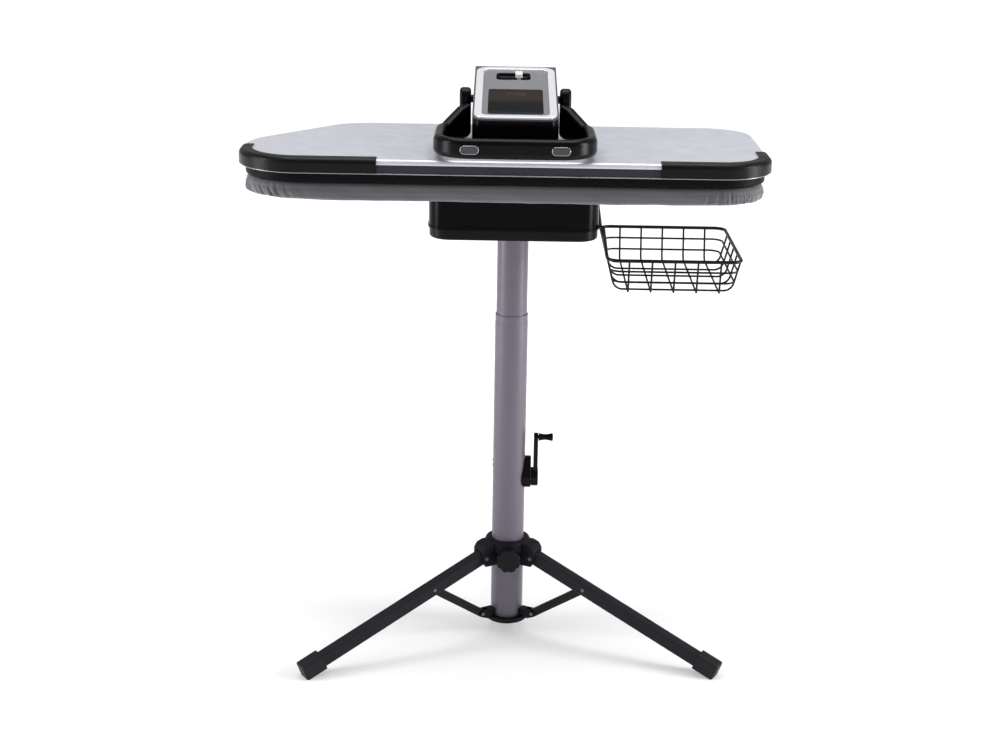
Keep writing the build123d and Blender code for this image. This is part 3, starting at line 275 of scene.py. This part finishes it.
def closed_tube(route, radius, sides=12):
    """Points and faces of a round bead along a closed route."""
    count = len(route)
    points = []
    for i, here in enumerate(route):
        ahead = (route[(i + 1) % count] - route[i - 1]).normalized()
        across = ahead.cross(Vector((0, 1, 0))).normalized()
        upright = across.cross(ahead)
        for side in range(sides):
            angle = 2 * pi * side / sides
            points.append(here + radius * (cos(angle) * across + sin(angle) * upright))
    faces = []
    for i in range(count):
        for side in range(sides):
            a, b = i * sides, (i + 1) % count * sides
            after = (side + 1) % sides
            faces.append((a + side, b + side, b + after, a + after))
    return points, faces


# ---------------------------------------------------------------- pad: cloth cover drawn round the board
PLAN_CORNERS = ((-0.472, -0.182), (0.437, -0.182), (0.437, 0.206), (-0.313, 0.206), (-0.472, 0.006))
PLAN_RADII = (0.105, 0.088, 0.082, 0.095, 0.120)
ARC_STEPS = 60                  # points on each corner before the loop is spaced evenly
TURN_GAIN = 40                  # scales the small turn between two points up to a bend of 0 to 1
BLUR_REACH = 90                 # points on each side that the bend is spread over
BLUR_WIDTH = 34.0
PAD_INSET = 0.0085              # the cover lies this far inside the heated plate's outline
PAD_TOP = 0.8933
PAD_BOTTOM = 0.8632
PAD_COLUMNS = 1500
GATHER = 0.0092                 # spacing of the gathers at the ends


def plan_loop(inset, count):
    """Evenly spaced points round the plan, their outward directions, bends and distances, and the girth."""
    dense = []
    corners = [Vector(c) for c in PLAN_CORNERS]
    for i, corner in enumerate(corners):
        back = (corners[i - 1] - corner).normalized()
        on = (corners[(i + 1) % len(corners)] - corner).normalized()
        half = back.angle(on) / 2
        centre = corner + (back + on).normalized() * PLAN_RADII[i] / sin(half)
        first = atan2(back.x, -back.y)
        for step in range(ARC_STEPS + 1):
            angle = first + (pi - 2 * half) * step / ARC_STEPS
            dense.append((centre.x + (PLAN_RADII[i] - inset) * cos(angle),
                          centre.y + (PLAN_RADII[i] - inset) * sin(angle)))
    dense = np.array(dense + dense[:1])
    along = np.concatenate([[0], np.cumsum(np.hypot(*np.diff(dense, axis=0).T))])
    at = np.arange(count) * along[-1] / count
    loop = np.stack([np.interp(at, along, dense[:, 0]), np.interp(at, along, dense[:, 1])], 1)
    ahead = np.roll(loop, -1, 0) - np.roll(loop, 1, 0)
    ahead /= np.linalg.norm(ahead, axis=1)[:, None]
    outward = np.stack([ahead[:, 1], -ahead[:, 0]], 1)
    later = np.roll(ahead, -2, 0)
    turning = np.clip((ahead[:, 0] * later[:, 1] - ahead[:, 1] * later[:, 0]) * TURN_GAIN, 0, 1)
    reach = np.arange(-BLUR_REACH, BLUR_REACH + 1)
    window = np.exp(-(reach / BLUR_WIDTH) ** 2)
    wrapped = np.concatenate([turning[-BLUR_REACH:], turning, turning[:BLUR_REACH]])
    bend = np.convolve(wrapped, window / window.sum(), "valid")
    return loop, outward, bend, at, along[-1]


loop, outward, bend, at, girth = plan_loop(PAD_INSET, PAD_COLUMNS)


def drift(scale, seed):
    """A smooth random value at each place round the loop, about -1 to 1."""
    return np.array([noise.noise(Vector((x * scale, y * scale, seed))) * 1.8 for x, y in loop])


def gathers(spacing, wander, scale, seed):
    """Puffs round the loop with sharp valleys between them; the function shifts them along it."""
    count = round(girth / spacing)
    phase = pi * count * at / girth + wander * drift(scale, seed)
    height = 0.6 + 0.4 * drift(scale * 2.3, seed + 5)

    def shifted(along):
        return (2 * np.abs(np.sin(phase + pi * along / spacing)) ** 0.7 - 1) * height
    return shifted


fine_gathers = gathers(GATHER, 3.0, 26, 1.0)
wide_gathers = gathers(GATHER * 2.7, 2.2, 15, 7.0)
lean = 0.6 * drift(6, 21.0)
slack = drift(9, 12.0)
sag = drift(22, 17.0)

EDGE = 0.0075                   # radius of the pad's top edge
TUCK = 0.008                    # radius where the cover turns under the board
TOP_SINK = 0.0006               # the flat top lies this far below PAD_TOP
EDGE_SINK = 0.0018              # and the beginning of its edge this far
FLAT_IN = 0.034                 # the flat rows begin this far in from the edge
FLAT_WIDTH = 0.024
SIDE_BULGE = 0.0014
HEM_STEP = 0.0018               # spacing of the rows of the hem under the board
HEM_RISE = 0.0001               # and how much each lies above the one before
HEM_ROWS = 8
ROLL_WIDTH = 0.002              # size of the elastic roll at the hem's end
ROLL_DROP = 0.0018
EDGE_STEPS = 8                  # rows round the top edge and round the tuck
SIDE_STEPS = 12
ROLL_STEPS = 5
rows = []                       # outset, height, strength of the gathers
for outset in (-0.034, -0.028, -0.022, -0.017, -0.013, -0.010):
    sink = TOP_SINK + (EDGE_SINK - TOP_SINK) * (FLAT_IN + outset) / FLAT_WIDTH
    rows.append((outset, PAD_TOP - sink, 0.10))
edge_top = PAD_TOP - EDGE_SINK
for step in range(1, EDGE_STEPS + 1):
    angle = pi / 2 * (1 - step / EDGE_STEPS)
    rows.append((EDGE * (cos(angle) - 1), edge_top - EDGE * (1 - sin(angle)), 0.10 + 0.02 * step))
side_top = edge_top - EDGE
side_low = PAD_BOTTOM + TUCK
for step in range(1, SIDE_STEPS):
    share = step / SIDE_STEPS
    rows.append((SIDE_BULGE * sin(pi * share), side_top + (side_low - side_top) * share, 0.28 + 0.6 * share))
for step in range(EDGE_STEPS + 1):
    share = step / EDGE_STEPS
    angle = pi / 2 * share
    rows.append((TUCK * (cos(angle) - 1), side_low - TUCK * sin(angle), 0.9 + 0.1 * share))
for step in range(1, HEM_ROWS + 1):
    rows.append((-TUCK - HEM_STEP * step, PAD_BOTTOM + HEM_RISE * step, 1.0))
hem_in = TUCK + HEM_STEP * HEM_ROWS
hem_z = PAD_BOTTOM + HEM_RISE * HEM_ROWS
for step in range(1, ROLL_STEPS + 1):
    angle = pi * step / ROLL_STEPS
    rows.append((-hem_in - ROLL_WIDTH * sin(angle), hem_z - ROLL_DROP * (1 - cos(angle)) / 2, 0.8))

FINE_PUSH = 0.0025              # how far the gathers push the cloth out
WIDE_PUSH = 0.0032
FOLD_PUSH = 0.0042              # how far the low diagonal folds push it out
HEM_RIDGE = 0.0007
HINGE_HALF_WIDTH = 0.066        # behind the column the cover stays above the hinge
HINGE_FROM_Y = 0.1
HINGE_CLEAR_Z = 0.8654

ends = np.clip(bend * 1.25, 0, 1)
points = []
for outset, height, strength in rows:
    low = np.clip((side_top - height) / (side_top - PAD_BOTTOM), 0, 1)
    fine = fine_gathers(lean * 0.010 * low)
    wide = wide_gathers(lean * 0.022 * low)
    push = strength * ends * (FINE_PUSH * fine + WIDE_PUSH * wide)
    folds = np.array([noise.noise(Vector((x * 13 + height * 34, y * 13, height * 30))) for x, y in loop])
    push += FOLD_PUSH * folds * (0.3 + 0.7 * strength) * (1 - 0.4 * ends)
    push += (0.0007 * strength + 0.0003) * slack * (1 - 0.5 * ends)
    # a folded hem shows as a low ridge along the straight sides
    ridge = HEM_RIDGE * np.exp(-((height - side_low + 0.001) / 0.0022) ** 2) * (1 - ends)
    out = outset + push + ridge
    lift = low * (0.0010 * ends * fine + 0.0009 * ends * wide + 0.0022 * ends + 0.0007 * sag)
    z = height + lift + 0.0003 * slack * (1 - low)
    near_hinge = (np.abs(loop[:, 0]) < HINGE_HALF_WIDTH) & (loop[:, 1] > HINGE_FROM_Y)
    z = np.where(near_hinge, np.maximum(z, HINGE_CLEAR_Z), z)
    ring = loop + outward * out[:, None]
    points.extend(zip(ring[:, 0], ring[:, 1], z))

# the top inside the edge, in loops that grow from the middle
inner = np.array([(p[0], p[1]) for p in points[:PAD_COLUMNS]])
centre = inner.mean(axis=0)
top_loops = (0.02, 0.12, 0.24, 0.36, 0.48, 0.60, 0.70, 0.79, 0.87, 0.94)
top_points = []
for share in top_loops:
    for x, y in centre + (inner - centre) * share:
        dip = 0.0005 * noise.noise(Vector((x * 11, y * 11, 3.0)))
        top_points.append((x, y, PAD_TOP - TOP_SINK - abs(dip)))
all_points = top_points + points
faces = grid_faces(len(top_loops) + len(rows), PAD_COLUMNS)
faces.append(tuple(range(PAD_COLUMNS))[::-1])
faces = [tuple(reversed(f)) for f in faces]
pad = add_piece("pad", all_points, faces, pad_cloth, "mast")
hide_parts("pad_cover", "foam_pad")

# ---------------------------------------------------------------- bright bead under the heated plate's edge
BEAD_SIDES = 8
BEAD_COLUMNS = 900
BEAD_OUT = 0.0006               # the bead's middle lies this far outside the plan
BEAD_RADIUS = 0.0011
BEAD_Z = 0.9120
bead_points = []
for side in range(BEAD_SIDES):
    angle = 2 * pi * side / BEAD_SIDES
    ring = plan_loop(-BEAD_OUT + BEAD_RADIUS * cos(angle), BEAD_COLUMNS)[0]
    bead_points.extend((x, y, BEAD_Z + BEAD_RADIUS * sin(angle)) for x, y in ring)
bead_faces = grid_faces(BEAD_SIDES, BEAD_COLUMNS)
last = (BEAD_SIDES - 1) * BEAD_COLUMNS
for column in range(BEAD_COLUMNS):
    ahead = (column + 1) % BEAD_COLUMNS
    bead_faces.append((last + column, last + ahead, ahead, column))
add_piece("plate_bead", bead_points, bead_faces, bead_silver, "arm")

# ---------------------------------------------------------------- silver rims round the steam buttons
BUTTON_X = 0.076
BUTTON_Z = 0.960
RIM_FRONT = -0.2128
RIM_HALF_LENGTH = 0.0150
RIM_HALF_HEIGHT = 0.0067
RIM_RADIUS = 0.0005
RIM_STEPS = 64
for side, end in ((-1, "left"), (1, "right")):
    route = []
    for step in range(RIM_STEPS):
        angle = 2 * pi * step / RIM_STEPS
        straight = (RIM_HALF_LENGTH - RIM_HALF_HEIGHT) * (1 if cos(angle) >= 0 else -1)
        route.append(Vector((side * BUTTON_X + straight + RIM_HALF_HEIGHT * cos(angle), RIM_FRONT,
                             BUTTON_Z + RIM_HALF_HEIGHT * sin(angle))))
    rim_points, rim_faces = closed_tube(route, RIM_RADIUS)
    add_piece(f"button_rim_{end}", rim_points, rim_faces, rim_silver, "handle")

# ---------------------------------------------------------------- dark well under the slider's slot
CONSOLE_FRONT = Vector((0, -0.125, 0.998))
CONSOLE_REAR = Vector((0, 0.176, 1.048))
up_slope = (CONSOLE_REAR - CONSOLE_FRONT).normalized()
off_slope = Vector((1, 0, 0)).cross(up_slope)


def on_slope(across, along, above=0.0):
    """A point on the console's sloping top."""
    return CONSOLE_FRONT + Vector((across, 0, 0)) + up_slope * along + off_slope * above


WELL_CENTRE = (-0.004, 0.2405)
WELL_STEPS = 48
WELL_ROUNDNESS = 0.3            # 1 is an ellipse, 0 a rectangle
WELL_RINGS = ((0.0330, 0.0235, -0.0004), (0.0322, 0.0225, -0.0030),
              (0.0310, 0.0212, -0.0058), (0.0150, 0.0100, -0.0062))
well_points = []
for half_width, half_length, above in WELL_RINGS:
    for step in range(WELL_STEPS):
        angle = 2 * pi * step / WELL_STEPS
        across = half_width * np.sign(cos(angle)) * abs(cos(angle)) ** WELL_ROUNDNESS
        along = half_length * np.sign(sin(angle)) * abs(sin(angle)) ** WELL_ROUNDNESS
        well_points.append(on_slope(WELL_CENTRE[0] + across, WELL_CENTRE[1] + along, above))
well_faces = grid_faces(len(WELL_RINGS), WELL_STEPS)
well_faces.append(tuple(range(len(well_points) - WELL_STEPS, len(well_points))))
add_piece("slider_well", well_points, well_faces, black_plastic, "arm")

# ---------------------------------------------------------------- read-out on the display
DIGIT_SEGMENTS = {"0": "abcdef", "1": "bc", "5": "acdfg"}
# each segment's column and row, and whether it stands upright
SEGMENT_PLACES = {"a": (0, 2, 0), "b": (1, 1, 1), "c": (1, 0, 1), "d": (0, 0, 0), "e": (0, 0, 1),
                  "f": (0, 1, 1), "g": (0, 1, 0)}
DIGIT_W = 0.0058
DIGIT_PITCH = 1.7               # spacing of the digits in digit widths
DIGIT_HALF_H = 0.0078
SEGMENT_T = 0.0006              # half a segment's thickness, and its gap to the next
SEGMENT_TIP = 0.0012            # where a segment reaches its full thickness
READ_OUT = "1500"
READ_ALONG = 0.128
READ_ABOVE = 0.00155

digit_points = []
digit_faces = []
for place, digit in enumerate(READ_OUT):
    left = (place - len(READ_OUT) / 2) * DIGIT_W * DIGIT_PITCH
    for segment in DIGIT_SEGMENTS[digit]:
        column, row, stands = SEGMENT_PLACES[segment]
        start_x = left + column * DIGIT_W
        start_y = READ_ALONG + row * DIGIT_HALF_H
        first = len(digit_points)
        if stands:
            shape = ((0, SEGMENT_T), (SEGMENT_T, SEGMENT_TIP), (SEGMENT_T, DIGIT_HALF_H - SEGMENT_TIP),
                     (0, DIGIT_HALF_H - SEGMENT_T), (-SEGMENT_T, DIGIT_HALF_H - SEGMENT_TIP),
                     (-SEGMENT_T, SEGMENT_TIP))
        else:
            shape = ((SEGMENT_T, 0), (SEGMENT_TIP, -SEGMENT_T), (DIGIT_W - SEGMENT_TIP, -SEGMENT_T),
                     (DIGIT_W - SEGMENT_T, 0), (DIGIT_W - SEGMENT_TIP, SEGMENT_T),
                     (SEGMENT_TIP, SEGMENT_T))
        for across, along in shape:
            digit_points.append(on_slope(start_x + across, start_y + along, READ_ABOVE))
        digit_faces.append(tuple(range(first, first + 6)))
add_piece("display_digits", digit_points, digit_faces, read_out, "arm", smooth=False)

# ---------------------------------------------------------------- camera
CAMERA_AT = Vector((-0.0158, -3.041, 1.4608))
CAMERA_DROP = radians(17.43)
CAMERA_TURN = radians(-0.07)
CAMERA_ROLL = radians(0.93)

camera_data = bpy.data.cameras.new("camera")
camera_data.sensor_width = 36
camera_data.lens = 62.25
camera = bpy.data.objects.new("camera", camera_data)
bpy.context.scene.collection.objects.link(camera)
heading = Vector((sin(CAMERA_TURN), cos(CAMERA_TURN), 0))
forward = heading * cos(CAMERA_DROP) - Vector((0, 0, sin(CAMERA_DROP)))
level = Vector((cos(CAMERA_TURN), -sin(CAMERA_TURN), 0))
upright = level.cross(forward)
image_right = cos(CAMERA_ROLL) * level + sin(CAMERA_ROLL) * upright
image_up = cos(CAMERA_ROLL) * upright - sin(CAMERA_ROLL) * level
turn = Matrix((image_right, image_up, -forward)).transposed()
camera.matrix_world = Matrix.Translation(CAMERA_AT) @ turn.to_4x4()
bpy.context.scene.camera = camera

# ---------------------------------------------------------------- floor and light
floor_mesh = bmesh.new()
bmesh.ops.create_grid(floor_mesh, x_segments=1, y_segments=1, size=30)
floor_data = bpy.data.meshes.new("floor")
floor_mesh.to_mesh(floor_data)
floor = bpy.data.objects.new("floor", floor_data)
bpy.context.scene.collection.objects.link(floor)
floor_material, floor_tree, floor_shader, floor_place = new_material("floor_white")
floor_shader.inputs["Base Color"].default_value = (0.78, 0.78, 0.78, 1)
floor_shader.inputs["Roughness"].default_value = 0.9
floor_shader.inputs["Specular IOR Level"].default_value = 0.0
floor_shader.inputs["Emission Color"].default_value = (1, 1, 1, 1)
# the floor glows more away from the stand, where the lamps don't reach
floor_distance = floor_tree.nodes.new("ShaderNodeVectorMath")
floor_distance.operation = "LENGTH"
floor_tree.links.new(floor_place.outputs["Object"], floor_distance.inputs[0])
floor_glow = floor_tree.nodes.new("ShaderNodeMapRange")
floor_glow.interpolation_type = "SMOOTHSTEP"
for socket, value in (("From Min", 0.3), ("From Max", 2.4), ("To Min", 0.24), ("To Max", 0.78)):
    floor_glow.inputs[socket].default_value = value
floor_tree.links.new(floor_distance.outputs["Value"], floor_glow.inputs["Value"])
floor_tree.links.new(floor_glow.outputs["Result"], floor_shader.inputs["Emission Strength"])
floor_data.materials.append(floor_material)

world = bpy.data.worlds.new("studio")
bpy.context.scene.world = world
world.use_nodes = True
world.node_tree.nodes["Background"].inputs["Color"].default_value = (1, 1, 1, 1)
world.node_tree.nodes["Background"].inputs["Strength"].default_value = 0.36
bpy.context.scene.view_settings.view_transform = "Standard"


def softbox(name, at, target, size, power):
    data = bpy.data.lights.new(name, "AREA")
    data.shape = "RECTANGLE"
    data.size, data.size_y = size
    data.energy = power
    lamp = bpy.data.objects.new(name, data)
    bpy.context.scene.collection.objects.link(lamp)
    lamp.matrix_world = (Matrix.Translation(at)
                         @ (Vector(target) - Vector(at)).to_track_quat("-Z", "Y").to_matrix().to_4x4())


softbox("overhead", (0, 0.3, 3.2), (0, 0, 0.5), (2.6, 2.0), 60)
softbox("left", (-2.6, -0.6, 1.3), (0, 0, 0.8), (0.9, 2.2), 48)
softbox("right", (2.6, -0.6, 1.3), (0, 0, 0.8), (0.9, 2.2), 70)
